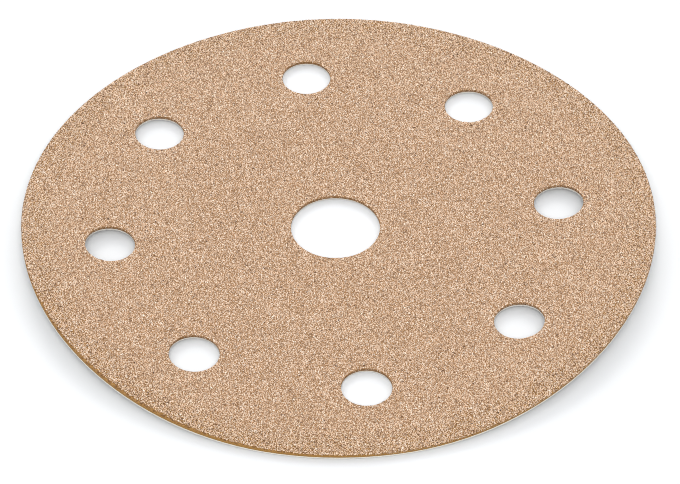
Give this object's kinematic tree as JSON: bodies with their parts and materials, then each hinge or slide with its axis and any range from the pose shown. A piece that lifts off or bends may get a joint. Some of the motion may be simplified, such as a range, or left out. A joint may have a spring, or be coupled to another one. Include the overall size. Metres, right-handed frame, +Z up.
{
  "type": "hook and loop sanding disc",
  "caption": "Round, slightly curled abrasive disc on a brushed loop backing, with a centre hole and a ring of dust extraction holes.",
  "frame": {"origin": "centre of the disc's rim, on the surface that it lies on", "axes": "+Z up out of the grit face, +Y towards the rim that is farthest away in the picture, +X towards its right side"},
  "size_m": [0.125, 0.125, 0.0044],
  "materials": {
    "loop_backing": "brushed loop knit, matte",
    "abrasive_sheet": "coated with tan abrasive grain, matte"
  },
  "bodies": {
    "root": {"loop_backing": "loop_backing", "abrasive_sheet": "abrasive_sheet"}
  },
  "joints": []
}
